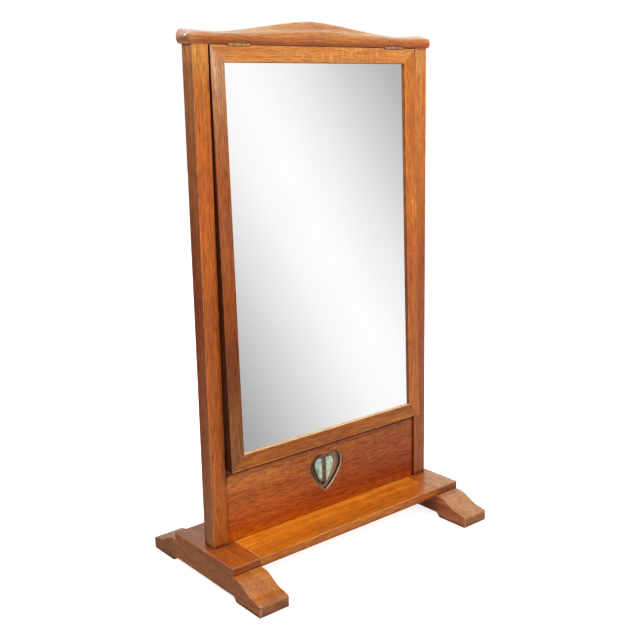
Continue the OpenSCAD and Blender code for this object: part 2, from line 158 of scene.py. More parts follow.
def arris_wear(tree):
    """1 along the middle of an eased arris and 0 away from it, as finish_mesh writes it."""
    return add(tree, "ShaderNodeAttribute", attribute_name="wear").outputs["Fac"]


def rgb(r, g, b):
    """A colour from its 0-255 screen values."""
    screen = (c / 255 for c in (r, g, b))
    return tuple(((c + 0.055) / 1.055) ** 2.4 if c > 0.04 else c / 12.92 for c in screen) + (1.0,)


def grey(level):
    """A grey from its linear value, which can be over 1 for a light."""
    return level, level, level, 1


def new_material(name):
    material = bpy.data.materials.new(name)
    material.use_nodes = True
    tree = material.node_tree
    tree.nodes.clear()
    shader = add(tree, "ShaderNodeBsdfPrincipled")
    add(tree, "ShaderNodeOutputMaterial", {"Surface": shader.outputs[0]})
    return material, tree, shader


# Oak
# Which of x, y and z follows the fibres, and then the two across them
GRAIN_ORDER = {"x": (0, 1, 2), "y": (1, 0, 2), "z": (2, 1, 0)}
# How far each seed moves a piece through the endless figure
SEED_STEP = (1.37, 0.71, 0.93)
# How far the fibres wander sideways
SWAY = 16 * MM
# Values of the figure at which the wood is dark, middling and light
TONES = (0.34, 0.50, 0.68)


def fibres(tree, parts, grain, seed):
    """Positions with x along the fibres, first straight and then with the fibres' sway."""
    order = GRAIN_ORDER[grain]
    turned = add(tree, "ShaderNodeCombineXYZ", {k: parts[order[k]] for k in range(3)}).outputs[0]
    straight = shift(tree, turned, tuple(seed * step for step in SEED_STEP))
    sway = noise(tree, stretch(tree, straight, 3.0, 9.0, 9.0), detail=1.0, output=1)
    sway = stretch(tree, shift(tree, sway, (-0.5, -0.5, -0.5)), 0.0, SWAY, SWAY)
    return straight, shift(tree, straight, sway)


def fibre_noise(tree, vector, along, across, **look):
    """Noise drawn out along the fibres. along and across are how often it repeats per metre each way."""
    return noise(tree, stretch(tree, vector, along, across, across), **look)


def flecked(tree, colour, straight, light, fleck):
    """Pale ray flecks, which come in patches."""
    ray = fibre_noise(tree, straight, along=260.0, across=44.0, detail=2.0, rough=0.45, distortion=1.2)
    patch = fibre_noise(tree, straight, along=5.0, across=13.0, detail=1.0)
    ray = times(tree, span(tree, ray, 0.56, 0.70), span(tree, patch, 0.48, 0.62))
    paler = rgb(*(min(255, int(c * 1.16 + 22)) for c in light))
    return blend(tree, times(tree, ray, fleck), colour, paler)


def ticked(tree, colour, fibre, figure, fine):
    """Short dark and light ticks of fine grain."""
    ticks = fibre_noise(tree, fibre, along=60.0 * fine, across=760.0 * fine, detail=2.0, rough=0.7)
    shade = span(tree, ticks, 0.30, 0.70, 1.0 - 0.28 * figure, 1.0 + 0.24 * figure, smooth=False)
    return add(tree, "ShaderNodeVectorMath", {0: colour, "Scale": shade}, operation="SCALE").outputs["Vector"]


def tinted(tree, colour, where, tints):
    """The colour multiplied by each of the tints, which the function oak describes."""
    parts = split(tree, where)
    slope = split(tree, add(tree, "ShaderNodeNewGeometry").outputs["Normal"])[2]
    for axis, start, end, tint in tints:
        if isinstance(axis, tuple):
            measure = dot(tree, where, axis)
        else:
            measure = slope if axis == "up" else parts["xyz".index(axis)]
        amount = span(tree, measure, start, end, smooth=False)
        colour = blend(tree, amount, colour, blend(tree, 1.0, colour, tint + (1.0,), "MULTIPLY"))
    return colour


def rubbed(tree, colour, where, straight, bared, bare, wear):
    """Wood rubbed bare in patches along the arrises, and round each place of bare."""
    patches = span(tree, noise(tree, straight, scale=70.0, detail=3.0), 0.36, 0.62, 0.15, 0.75)
    colour = blend(tree, times(tree, bared, patches), colour, rgb(*wear))
    for spot, reach in bare:
        away = vector_math(tree, "DISTANCE", where, spot)["Value"]
        colour = blend(tree, span(tree, away, reach * 0.3, reach, 0.6, 0.0), colour, rgb(*wear))
    return colour


def oak(name, grain, seed, dark, mid, light, fleck=0.10, wear=(205, 150, 105), tints=(), coat=0.25,
        rough=0.38, gloss=0.35, coat_rough=0.18, ripple=0.0, figure=1.4, fine=1.0, worn=None, bare=()):
    """Waxed oak in three screen colours. grain is the axis that the fibres follow.

    figure is how strong the fine grain is, fine how narrow, and fleck how strong the ray flecks are.
    Each of tints is (axis, from, to, colour at to) in metres, and multiplies the colour more and more
    from one place to the other. Its axis can also be a vector, or "up", which goes by the surface's
    slope, from -1 underneath to 1 on top.
    wear is the colour of bare wood. worn is (axis, from, to, share at from, share at to) of the wear on
    the arrises, and each of bare is a place and how far the bare wood reaches round it.
    ripple is how deep the waves of the hand-worked surface are.
    """
    material, tree, shader = new_material(name)
    where = position(tree)
    parts = split(tree, where)
    straight, fibre = fibres(tree, parts, grain, seed)
    bands = fibre_noise(tree, fibre, along=2.2, across=75.0, detail=4.0, rough=0.6)
    streaks = fibre_noise(tree, fibre, along=16.0, across=520.0 * fine, detail=3.0, rough=0.62)
    mottle = noise(tree, straight, scale=16.0, detail=3.0, rough=0.6)
    pits = span(tree, fibre_noise(tree, fibre, along=70.0, across=1250.0, detail=1.0), 0.56, 0.70)
    tone = plus(tree, times(tree, bands, 0.42), times(tree, streaks, 0.38))
    tone = plus(tree, tone, times(tree, mottle, 0.20))

    colour = ramp(tree, tone, tuple(zip(TONES, (rgb(*dark), rgb(*mid), rgb(*light)))))
    colour = flecked(tree, colour, straight, light, fleck)
    colour = ticked(tree, colour, fibre, figure, fine)
    colour = blend(tree, times(tree, pits, 0.42), colour, rgb(*(int(c * 0.45) for c in dark)))
    colour = tinted(tree, colour, where, tints)
    edge = arris_wear(tree)
    bared = edge
    if worn:
        axis, *change = worn
        bared = times(tree, edge, span(tree, parts["xyz".index(axis)], *change, smooth=False))
    colour = rubbed(tree, colour, where, straight, bared, bare, wear)

    matt = span(tree, mottle, 0.3, 0.7, rough - 0.06, rough + 0.10)
    matt = plus(tree, matt, times(tree, pits, 0.12), clamp=True)
    if worn:
        matt = plus(tree, matt, times(tree, edge, 0.25), clamp=True)
    wavy = bump(tree, noise(tree, straight, scale=48.0, detail=1.0), 1.0, ripple)
    height = math_node(tree, "SUBTRACT", times(tree, streaks, 0.5), pits)
    feed(tree, shader, {"Base Color": colour, "Roughness": matt, "Specular IOR Level": gloss,
                        "Normal": bump(tree, height, 0.4, 0.25 * MM, wavy),
                        "Coat Weight": coat, "Coat Roughness": coat_rough, "Coat Normal": wavy})
    return material


def heart_wall():
    """Edge of the opening: a pale rubbed arris on the side that faces left, a grey brown one on the other,
    and brown wood behind them that darkens into the corner as painted shade."""
    material, tree, shader = new_material("oak_heart_wall")
    where = position(tree)
    x, y, _ = split(tree, where)
    cloud = noise(tree, where, scale=240.0, detail=3.0)
    depth = math_node(tree, "SUBTRACT", y, PANEL_LOW.y)

    def clouded(dark, light):
        return blend(tree, span(tree, cloud, 0.35, 0.65), rgb(*dark), rgb(*light))

    outer = clouded((70, 42, 22), (104, 68, 42))
    pale = clouded((244, 204, 162), (255, 238, 210))
    pale = blend(tree, span(tree, depth, 1.0 * MM, 1.7 * MM), outer, pale)
    dull = clouded((92, 60, 38), (134, 96, 66))
    arris = blend(tree, span(tree, x, -4 * MM, 6 * MM), dull, pale)
    deep = clouded((52, 30, 16), (84, 54, 32))
    colour = blend(tree, span(tree, depth, 3.6 * MM, 4.6 * MM), arris, deep)
    feed(tree, shader, {"Base Color": colour, "Roughness": span(tree, cloud, 0.3, 0.7, 0.42, 0.6),
                        "Normal": bump(tree, cloud, 0.3, 0.2 * MM)})
    return material


# Metal, glass and glaze
def aged_metal(name, clean, tarnish, rough, seed):
    """Metal in a clean screen colour with clouds of tarnish."""
    material, tree, shader = new_material(name)
    where = position(tree)
    cloud = noise(tree, shift(tree, where, (seed, seed, seed)), scale=260.0, detail=4.0, rough=0.6)
    fine = noise(tree, where, scale=1500.0, detail=2.0)
    colour = blend(tree, span(tree, cloud, 0.38, 0.62), rgb(*clean), rgb(*tarnish))
    feed(tree, shader, {"Base Color": colour, "Roughness": span(tree, cloud, 0.35, 0.7, rough, rough + 0.3),
                        "Metallic": 1.0, "Normal": bump(tree, fine, 0.25, 0.1 * MM)})
    return material


def silvered_glass():
    """A mirror with a faint haze."""
    material, tree, shader = new_material("silvered_glass")
    haze = span(tree, noise(tree, position(tree), scale=9.0, detail=2.0), 0.3, 0.7)
    colour = blend(tree, haze, (0.965, 0.967, 0.968, 1), (0.985, 0.985, 0.983, 1))
    feed(tree, shader, {"Base Color": colour, "Metallic": 1.0, "Roughness": 0.012})
    return material


# Where the glaze turns brown: by x on both sides of the hollow, and by height towards the crowns. The brown
# of the hollow is patina, and where it reaches over the left lobe's flank it is painted shade.
HOLLOW_LEFT, HOLLOW_RIGHT = (-6.8 * MM, -4.0 * MM), (2.0 * MM, 4.0 * MM)
CROWN = (PLAQUE_HIGH.z - 3.4 * MM, PLAQUE_HIGH.z - 1.2 * MM)


def patina_glaze():
    """Pale green glaze on two lobes, brown in the hollow between them, on their crowns and round the rim. The
    hollow's brown reaches over the left lobe's flank as painted shade.
    """
    material, tree, shader = new_material("patina_glaze")
    where = position(tree)
    x, _, z = split(tree, where)
    cloud = noise(tree, where, scale=170.0, detail=5.0, rough=0.65)
    runs = noise(tree, stretch(tree, where, 420.0, 420.0, 70.0), detail=3.0, rough=0.6)
    green = blend(tree, span(tree, cloud, 0.35, 0.62), rgb(134, 172, 146), rgb(196, 220, 200))
    green = blend(tree, times(tree, span(tree, runs, 0.52, 0.72), 0.55), green, rgb(110, 120, 92))
    brown = blend(tree, span(tree, cloud, 0.4, 0.6), rgb(84, 58, 36), rgb(120, 98, 68))
    hollow = times(tree, span(tree, x, *HOLLOW_LEFT), span(tree, x, *HOLLOW_RIGHT, 1.0, 0.0))
    near = math_node(tree, "MAXIMUM", arris_wear(tree), hollow)
    near = math_node(tree, "MAXIMUM", near, span(tree, z, *CROWN))
    near = plus(tree, near, times(tree, math_node(tree, "SUBTRACT", runs, 0.5), 0.5))
    colour = blend(tree, span(tree, near, 0.35, 0.8), green, brown)
    feed(tree, shader, {"Base Color": colour, "Roughness": span(tree, runs, 0.3, 0.7, 0.3, 0.5),
                        "Normal": bump(tree, cloud, 0.4, 0.3 * MM), "Coat Weight": 0.3,
                        "Coat Roughness": 0.15})
    return material


# Pieces from the CAD solids
# Angles between faces that count as flat and as a sharp arris
FLAT, SHARP = math.radians(0.3), math.radians(28.0)
# Points closer than this are one, faces this near to one plane are joined, and a cut takes points this near
SAME_POINT, SAME_PLANE, ON_CUT = 0.01 * MM, math.radians(0.4), 0.0001 * MM
# Arrises shorter than HOLE_EDGE are left sharp, except on pieces with a bevel no wider than NARROW
HOLE_EDGE, NARROW = 0.8 * MM, 0.3 * MM


def new_object(name, data):
    """An object with this data in the scene."""
    thing = bpy.data.objects.new(name, data)
    bpy.context.scene.collection.objects.link(thing)
    return thing


def place(name, mesh, body, source, sharp_from=None):
    """The piece that stands for a CAD node. sharp_from is the angle in degrees from which edges look sharp,
    where that isn't left to finish_mesh."""
    mesh.name = name
    if sharp_from is not None:
        mesh.shade_smooth()
        mesh.set_sharp_from_angle(angle=math.radians(sharp_from))
    piece = new_object(name, mesh)
    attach(piece, body)
    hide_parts(source)


def weigh_arrises(mesh, width, at_edge, cuts):
    """Cleans a CAD mesh, cuts a ring of points in at each x of cuts and weighs each arris for its bevel."""
    bm = bmesh.new()
    bm.from_mesh(mesh)
    bmesh.ops.remove_doubles(bm, verts=bm.verts, dist=SAME_POINT)
    bmesh.ops.dissolve_limit(bm, angle_limit=SAME_PLANE, verts=bm.verts, edges=bm.edges)
    for x in cuts:
        bmesh.ops.bisect_plane(bm, geom=bm.verts[:] + bm.edges[:] + bm.faces[:], dist=ON_CUT,
                               plane_co=(x, 0, 0), plane_no=(1, 0, 0))
    shortest = HOLE_EDGE if width > NARROW else 0.0
    layers = bm.edges.layers.float
    weight = layers.get("bevel_weight_edge") or layers.new("bevel_weight_edge")
    for edge in bm.edges:
        if edge.is_manifold and edge.calc_face_angle(0.0) > SHARP and edge.calc_length() > shortest:
            middle = (edge.verts[0].co + edge.verts[1].co) / 2
            edge[weight] = at_edge(middle, edge) if at_edge else 1.0
        else:
            edge[weight] = 0.0
    bm.to_mesh(mesh)
    bm.free()


def finish_mesh(mesh, materials, picks=None):
    """Turns the bevel faces' material index into a corner attribute that peaks along the middle of each
    bevel. A face is shaded smooth where it is a bevel or part of a curve. picks gives a face the number of
    its material."""
    bm = bmesh.new()
    bm.from_mesh(mesh)
    layer = bm.loops.layers.float.new("wear")
    bevels = {f for f in bm.faces if f.material_index == 1}
    inner = {v for f in bevels for v in f.verts if all(g in bevels for g in v.link_faces)}
    for face in bm.faces:
        for loop in face.loops:
            loop[layer] = 1.0 if face in bevels and loop.vert in inner else 0.0
        face.smooth = face in bevels or any(
            g not in bevels and FLAT < face.normal.angle(g.normal, 0.0) < SHARP
            for e in face.edges for g in e.link_faces)
        face.material_index = int(picks(face)) if picks else 0
    mesh.materials.clear()
    for material in materials:
        mesh.materials.append(material)
    bm.to_mesh(mesh)
    bm.free()


def rounded(name, source, body, materials, width, at_edge=None, segments=3, picks=None, cuts=()):
    """A copy of a CAD node with its arrises eased. at_edge gives an edge's share of the width from its
    middle, and picks the number of a face's material. The rims of small drilled holes, which have short
    edges, are left as drilled."""
    mesh = nodes[source].data.copy()
    weigh_arrises(mesh, width, at_edge, cuts)
    mesh.materials.clear()
    for _ in range(2):
        mesh.materials.append(materials[0])
    mesh.shade_smooth()
    draft = new_object(name + "_draft", mesh)
    if width:
        bevel = draft.modifiers.new("ease", "BEVEL")
        bevel.width = width
        bevel.segments = segments
        bevel.limit_method = "WEIGHT"
        bevel.material = 1
        bevel.use_clamp_overlap = False
        bevel.miter_outer = "MITER_ARC"
    bpy.context.view_layer.update()
    final = bpy.data.meshes.new_from_object(draft.evaluated_get(bpy.context.evaluated_depsgraph_get()))
    bpy.data.objects.remove(draft)
    finish_mesh(final, materials, picks)
    place(name, final, body, source, sharp_from=None if width else 32.0)


# Camera, fitted to the straight edges in the photograph
CAMERA_AT = Vector((-790.90, -962.08, 609.57)) * MM
YAW, PITCH, ROLL = (math.radians(a) for a in (-39.44, -12.04, -1.074))
FOCAL_PX = 945.51
CENTRE_PX = (319.5, 295.95)
PICTURE_PX = 640
SENSOR_MM = 36.0

ahead = Vector((-math.sin(YAW) * math.cos(PITCH), math.cos(YAW) * math.cos(PITCH), math.sin(PITCH)))
level = Vector((math.cos(YAW), math.sin(YAW), 0.0))
upward = level.cross(ahead)
right = level * math.cos(ROLL) + upward * math.sin(ROLL)
top = -level * math.sin(ROLL) + upward * math.cos(ROLL)

camera_data = bpy.data.cameras.new("camera")
camera_data.sensor_width = SENSOR_MM
camera_data.lens = FOCAL_PX / PICTURE_PX * SENSOR_MM
camera_data.shift_x = (PICTURE_PX / 2 - CENTRE_PX[0] - 0.5) / PICTURE_PX
camera_data.shift_y = (CENTRE_PX[1] + 0.5 - PICTURE_PX / 2) / PICTURE_PX
camera = new_object("camera", camera_data)
camera.matrix_world = Matrix.Translation(CAMERA_AT) @ Matrix((right, top, -ahead)).transposed().to_4x4()
bpy.context.scene.camera = camera

# Wood of each piece
# The dark, middle and light screen colour of each kind
TOP_OAK = ((164, 90, 32), (198, 121, 48), (220, 148, 74))
CAP_OAK = ((150, 80, 22), (186, 112, 36), (208, 138, 60))
CAP_END_OAK = ((172, 112, 70), (196, 136, 90), (214, 160, 114))
FRONT_OAK = ((152, 74, 16), (187, 100, 24), (208, 126, 46))
RIGHT_OAK = ((158, 84, 26), (194, 112, 38), (214, 138, 60))
FOOT_OAK = ((130, 60, 16), (166, 87, 30), (193, 118, 54))
FOOT_SIDE = ((121, 59, 20), (155, 87, 38), (180, 117, 66))
FOOT_STEP = ((118, 54, 14), (146, 72, 24), (170, 98, 42))
# The first of these is the right foot's top colour, pale with a painted sheen
SHEEN_PALE_FOOT = ((134, 81, 40), (166, 111, 63), (190, 141, 92))
PALE_SIDE = ((146, 72, 30), (180, 100, 51), (206, 130, 78))
PALE_STEP = ((104, 48, 20), (132, 68, 34), (156, 88, 48))
SHELF_EDGE = ((146, 68, 8), (178, 94, 14), (201, 124, 38))
PANEL_OAK = ((156, 80, 28), (192, 108, 44), (216, 134, 66))
SHELF_OAK = ((162, 76, 6), (198, 106, 12), (224, 142, 40))
STILE_OAK = ((146, 90, 50), (177, 118, 74), (200, 144, 98))
RAIL_OAK = ((126, 62, 14), (161, 87, 25), (188, 114, 48))
# A darker copy of the post's oak for the left post's side, as painted shade
SHADED_SIDE_OAK = ((136, 74, 32), (172, 102, 50), (198, 128, 72))
# Painted shade for the frame's outer sides in the gaps by the posts and the underside of its top rail
SHADED_EDGE_OAK = ((50, 22, 9), (80, 36, 15), (108, 52, 23))
# Pale rubbed wood with painted light from above, for the bottom rail's lip
RUBBED_LIT_OAK = ((196, 150, 92), (226, 184, 126), (240, 208, 156))
DRY_OAK = ((96, 66, 40), (128, 92, 58), (152, 116, 78))
BOARD_OAK = ((120, 86, 62), (158, 122, 96), (184, 150, 122))
FOOT_WEAR = (210, 160, 118)
BOARD_WEAR = (150, 118, 90)

# Tints of painted shade in a corner and under an edge
CORNER_SHADE, UNDER_EDGE_SHADE = (0.42, 0.36, 0.32), (0.38, 0.3, 0.26)
# Heights between which the uprights change tone. Most darken from HIGH down to MIDDLE, a painted falloff of
# the light from above.
HIGH, MIDDLE, LOW, STILE_LOW = 0.62, 0.36, 0.05, 0.17


def undo(tint):
    """The tint that takes another one away again."""
    return tuple(1 / c for c in tint)


# The posts darken into their corner with the shelf as painted shade, and change below the cap, where a
# painted shadow of the cap lies on the right post and on the left post's side
POST_FOOT_SHADE = ("z", SHELF_TOP + 6 * MM, SHELF_TOP + 1 * MM, (0.26, 0.21, 0.18))
LEFT_POST_TINTS = (
    ("z", HIGH, MIDDLE, (0.87, 0.66, 0.2)), ("z", MIDDLE, LOW, (1.1, 1.42, 8.0)), POST_FOOT_SHADE,
    ("z", POST_TOP - 48 * MM, POST_TOP - 18 * MM, (1.18, 1.72, 3.2)),
    ("z", 0.60, 0.56, (1.14, 1.09, 0.8)), ("z", 0.45, 0.41, (1 / 1.14, 1 / 1.09, 1.0)))
RIGHT_POST_TINTS = (
    ("z", HIGH, MIDDLE, (0.63, 0.40, 0.02)), ("z", MIDDLE, LOW, (1.02, 1.34, 38.0)), POST_FOOT_SHADE,
    ("z", POST_TOP - 45 * MM, POST_TOP - 25 * MM, (1.08, 1.42, 2.3)),
    ("z", POST_TOP - 4 * MM, POST_TOP, CORNER_SHADE))
POST_SIDE_TINTS = (
    ("z", HIGH, MIDDLE, (0.61, 0.31, 0.14)), ("z", MIDDLE, LOW, (1.32, 2.8, 10.0)), POST_FOOT_SHADE,
    ("z", POST_TOP - 26 * MM, POST_TOP - 5 * MM, (1.7, 1.75, 2.1)),
    ("z", POST_TOP - 3 * MM, POST_TOP - 1 * MM, (0.16, 0.12, 0.09)))

# The stiles change tone several times on the way down, beginning with a painted falloff of the light between
# HIGH and MIDDLE, and the bottom rail is pale along its lower edge
LEFT_STILE_TINTS = (
    ("z", HIGH, MIDDLE, (0.60, 0.24, 0.01)), ("z", MIDDLE, STILE_LOW, (0.85, 1.78, 26.0)),
    ("z", 0.600, 0.632, (1.14, 1.30, 1.65)), ("z", 0.605, 0.53, (0.90, 0.67, 0.45)),
    ("z", 0.48, 0.42, (1.17, 1.56, 2.1)), ("z", 0.42, 0.38, (1.0, 1.14, 1.2)),
    ("z", 0.335, 0.305, (0.76, 0.68, 0.76)), ("z", 0.25, 0.22, (1.32, 1.32, 1.5)))
RIGHT_STILE_TINTS = (
    ("z", HIGH, MIDDLE, (1.08, 1.08, 0.95)), ("z", MIDDLE, STILE_LOW, (0.88, 0.96, 1.15)),
    ("z", 0.41, 0.455, (1.14, 1.19, 1.0)), ("z", 0.455, 0.41, (0.92, 0.77, 0.56)),
    ("z", 0.37, 0.34, (0.86, 0.92, 1.15)), ("z", 0.29, 0.27, (1.12, 1.15, 1.15)))
RAIL_TINTS = (("z", RAIL_LOW + 2.4 * MM, RAIL_LOW + 1.4 * MM, (1.3, 1.6, 2.6)),)

# The cap's tone goes by its slope as painted light: painted shade low on the nose, painted light on the
# undersides and a painted sheen where it faces up. Its ends differ, and it turns paler towards the left end,
# partly with a painted sheen.
CAP_SLOPE_SHADING = (
    ("z", CAP_LOW + 11 * MM, CAP_LOW + 3 * MM, (0.76, 0.50, 0.26)),
    ("up", -0.6, -0.95, (1.7, 2.0, 2.2)), ("up", 0.35, 0.85, (0.80, 1.02, 1.7)))
CAP_TINTS = CAP_SLOPE_SHADING + (
    ("x", 24 * MM - CAP_END, 7 * MM - CAP_END, (1.18, 1.6, 4.5)),
    ("x", CAP_END - 60 * MM, CAP_END - 30 * MM, (1.04, 0.86, 0.7)))

# A painted shadow on the panel's front just below the frame's lower edge: a narrow dark core in a soft band,
# and more painted shade on a slant in the corner by the left post
SHADOW_CORE, SHADOW_BAND = (0.36, 0.26, 0.14), (0.8, 0.76, 0.7)
RAIL_SHADOW_LINE = (
    ("z", RAIL_LOW - 10.1 * MM, RAIL_LOW - 8.6 * MM, SHADOW_CORE),
    ("z", RAIL_LOW - 6 * MM, RAIL_LOW - 4.5 * MM, undo(SHADOW_CORE)),
    ("z", RAIL_LOW - 17 * MM, RAIL_LOW - 10 * MM, SHADOW_BAND),
    ("z", RAIL_LOW, RAIL_LOW + 9 * MM, undo(SHADOW_BAND)),
    ((-4.0, 0.0, 1.0), 0.786, 0.797, (0.36, 0.30, 0.26)))
# The panel has painted shade where it meets the posts, turns darker and redder towards its foot as painted
# shade with the shelf's reflected colour, and takes some of the shelf's glow along its foot as painted light
PANEL_LOOK = {"fleck": 0.25, "gloss": 0.2, "figure": 1.8}
PANEL_TONES_AND_SHADE = (
    ("z", 0.12, 0.05, (0.76, 0.38, 0.02)), ("x", -0.15, 0.02, (0.78, 0.66, 0.45)),
    ("x", 0.02, 0.15, (0.86, 0.80, 0.7)), ("x", POST_IN - 5 * MM, POST_IN - 1 * MM, CORNER_SHADE),
    ("x", 5 * MM - POST_IN, 1 * MM - POST_IN, CORNER_SHADE),
    ("z", SHELF_TOP + 14 * MM, SHELF_TOP + 4.5 * MM, (1.40, 2.0, 0.9)))

# Painted sheen: the shelf and the right foot turn pale along this direction
SHEEN_WAY = (1.0, -1.28, 0.0)
# Two long pale streaks in the shelf board, a little askew to its edges
STREAK_WAY, STREAK = (0.012, 1.0, 0.0), (1.10, 1.24, 1.5)
# The shelf is paler towards the panel and has a painted sheen towards its right end and along the line above.
# Its edge has painted shade along its bottom.
SHELF_TINTS = (
    ("x", -0.10, 0.12, (0.96, 0.95, 1.1)), ("y", -0.055, -0.028, (1.26, 1.36, 1.5)),
    ("x", 0.10, 0.135, (0.9, 0.88, 1.2)), (SHEEN_WAY, 0.203, 0.222, (1.04, 1.22, 1.3)),
    (STREAK_WAY, -0.018, -0.0135, (1.15, 1.26, 1.8)),
    (STREAK_WAY, -0.036, -0.031, STREAK), (STREAK_WAY, -0.028, -0.023, undo(STREAK)))
SHELF_EDGE_TINTS = (
    ("z", SHELF_TOP - 9 * MM, SHELF_TOP - 11 * MM, UNDER_EDGE_SHADE), ("x", 0.04, 0.12, (0.85, 0.7, 0.8)))

# The feet have painted shade by the floor and are little worn there, bare at one front corner each, and
# change in tone along their tops and sides and at their ends. They have painted shade on the steps under the
# shelf's edges. The right foot's top has a painted sheen with a painted reflection of the post next to the
# post, and its side has painted shade under the shelf.
FOOT_FLOOR_SHADE = ("z", 5 * MM, 0.5 * MM, UNDER_EDGE_SHADE)
FOOT_LOOK = {"wear": FOOT_WEAR, "worn": ("z", 13 * MM, 11 * MM, 0.12, 1.0)}
FOOT_TOP, FOOT_SHOULDER = (36 * MM, 40.5 * MM), (36 * MM, 32 * MM)
FOOT_ENDS = ((1.2 * MM - FOOT_END, 0.3 * MM - FOOT_END), (FOOT_END - 1.2 * MM, FOOT_END - 0.3 * MM))
CORNER_IN = Vector((0.5 * MM, 0.5 * MM, 14.5 * MM))
LEFT_CORNER, RIGHT_CORNER = (tuple(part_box(foot)[0] + CORNER_IN) for foot in ("left_foot", "right_foot"))
# The post's painted reflection on the right foot, taken away again further back
POST_REFLECTION_AMBER = (1.0, 0.56, 0.2)
LEFT_FOOT_TINTS = (
    FOOT_FLOOR_SHADE, ("z", *FOOT_TOP, (0.95, 0.80, 0.64)), ("z", *FOOT_SHOULDER, (1.1, 1.28, 1.1)),
    ("y", -0.107, -0.119, (0.78, 0.64, 0.50)), ("y", 0.0, 0.03, (0.63, 0.85, 1.09)),
    ("y", 0.065, 0.075, (1.25, 1.08, 1.05)))
RIGHT_FOOT_TINTS = (
    FOOT_FLOOR_SHADE, ("z", *FOOT_TOP, (1.08, 1.13, 1.12)), ("x", 0.173, 0.160, (0.97, 0.80, 0.62)),
    (SHEEN_WAY, 0.217, 0.209, POST_REFLECTION_AMBER), ("y", -0.012, 0.0, undo(POST_REFLECTION_AMBER)))
LEFT_SIDE_TINTS = (
    FOOT_FLOOR_SHADE, *(("y", *end, (0.8, 0.9, 1.42)) for end in FOOT_ENDS), ("y", 0.05, 0.08, (0.86, 1.0, 1.08)))
RIGHT_SIDE_TINTS = (
    FOOT_FLOOR_SHADE, *(("y", *end, (0.55, 0.71, 0.83)) for end in FOOT_ENDS),
    ("y", -0.075, -0.06, (0.67, 0.68, 0.96)), ("y", -0.078, -0.064, (0.8, 0.76, 0.7)))
STEP_LOOK = {"coat": 0.15, "worn": FOOT_LOOK["worn"], "tints": (("z", 34.5 * MM, 32 * MM, CORNER_SHADE),)}

wood = {
    "left_foot": oak("oak_left_foot", "y", 1, *FOOT_OAK, **FOOT_LOOK, coat=0.3,
                     bare=((LEFT_CORNER, 5 * MM),), tints=LEFT_FOOT_TINTS),
    "right_foot": oak("oak_right_foot", "y", 2, *SHEEN_PALE_FOOT, **FOOT_LOOK, coat=0.5,
                      bare=((RIGHT_CORNER, 4 * MM),), tints=RIGHT_FOOT_TINTS),
    "shelf": oak("oak_shelf", "x", 3, *SHELF_OAK, coat=0.5, rough=0.30, figure=1.3, fine=0.9,
                 tints=SHELF_TINTS),
    "left_post": oak("oak_left_post", "z", 4, *FRONT_OAK, tints=LEFT_POST_TINTS),
    "right_post": oak("oak_right_post", "z", 5, *RIGHT_OAK, tints=RIGHT_POST_TINTS),
    "cap_rail": oak("oak_cap_rail", "x", 6, *CAP_OAK, coat=0.8, rough=0.34, gloss=0.25, coat_rough=0.19,
                    ripple=0.5 * MM, tints=CAP_TINTS),
    "lower_panel": oak("oak_lower_panel", "x", 7, *PANEL_OAK, **PANEL_LOOK, tints=RAIL_SHADOW_LINE + PANEL_TONES_AND_SHADE),
    "frame_top_rail": oak("oak_frame_top", "x", 8, *TOP_OAK, fleck=0.4, figure=0.9),
    "frame_bottom_rail": oak("oak_frame_bottom", "x", 9, *RAIL_OAK, gloss=0.25, coat=0.15, figure=1.5,
                             fine=0.8, tints=RAIL_TINTS),
    "frame_left_stile": oak("oak_frame_left", "z", 10, *STILE_OAK, gloss=0.2, coat=0.15,
                            worn=("z", 0.45, 0.30, 0.25, 0.9), tints=LEFT_STILE_TINTS),
    "frame_right_stile": oak("oak_frame_right", "z", 11, *FRONT_OAK, tints=RIGHT_STILE_TINTS),
}
panel_back = oak("oak_panel_back", "x", 7, *PANEL_OAK, **PANEL_LOOK, tints=PANEL_TONES_AND_SHADE)
# The left post's side facing away from the light, a darker copy in painted shade
post_side = oak("oak_post_side_shaded", "z", 17, *SHADED_SIDE_OAK, coat=0.08, gloss=0.15, tints=POST_SIDE_TINTS)
cap_end = oak("oak_cap_end", "x", 6, *CAP_END_OAK, fleck=0.0, coat=1.0, rough=0.34, gloss=0.25,
              coat_rough=0.17, ripple=0.9 * MM, figure=0.5, tints=CAP_SLOPE_SHADING)
left_side = oak("oak_left_foot_side", "y", 1, *FOOT_SIDE, **FOOT_LOOK, coat=0.15, tints=LEFT_SIDE_TINTS)
left_step = oak("oak_left_step", "x", 1, *FOOT_STEP, **STEP_LOOK)
right_side = oak("oak_right_foot_side", "y", 2, *PALE_SIDE, **FOOT_LOOK, coat=0.15, tints=RIGHT_SIDE_TINTS)
right_step = oak("oak_right_step", "x", 2, *PALE_STEP, **STEP_LOOK)
shelf_edge = oak("oak_shelf_edge", "x", 3, *SHELF_EDGE, coat=0.3, tints=SHELF_EDGE_TINTS)
# Dark wood as painted shade, for the frame's outer sides and the top rail's underside
shaded_edge = oak("oak_shaded_edge", "z", 15, *SHADED_EDGE_OAK, wear=(120, 66, 36), coat=0.0, rough=0.6, gloss=0.2)
# Pale rubbed wood with painted light from above
rubbed_lit_edge = oak("oak_rubbed_lit_edge", "x", 16, *RUBBED_LIT_OAK, wear=(240, 205, 150))


# Which material a face takes, by number. The bare numbers are the share of its normal along an axis.
OPENING_HALF, OPENING_MARGIN = 31 * MM, 12 * MM


def in_opening(at):
    """Whether a place is at the heart opening, well inside the panel's own edges."""
    return abs(at.x) < OPENING_HALF and PANEL_LOW.z + OPENING_MARGIN < at.z < PANEL_HIGH.z - OPENING_MARGIN


def on_back(face):
    return face.normal.y > -0.2


def on_panel(face):
    """1 on the opening's wall and its eased edge, and 2 on the back."""
    if in_opening(face.calc_center_median()) and abs(face.normal.y) < 0.9:
        return 1
    return 2 * on_back(face)


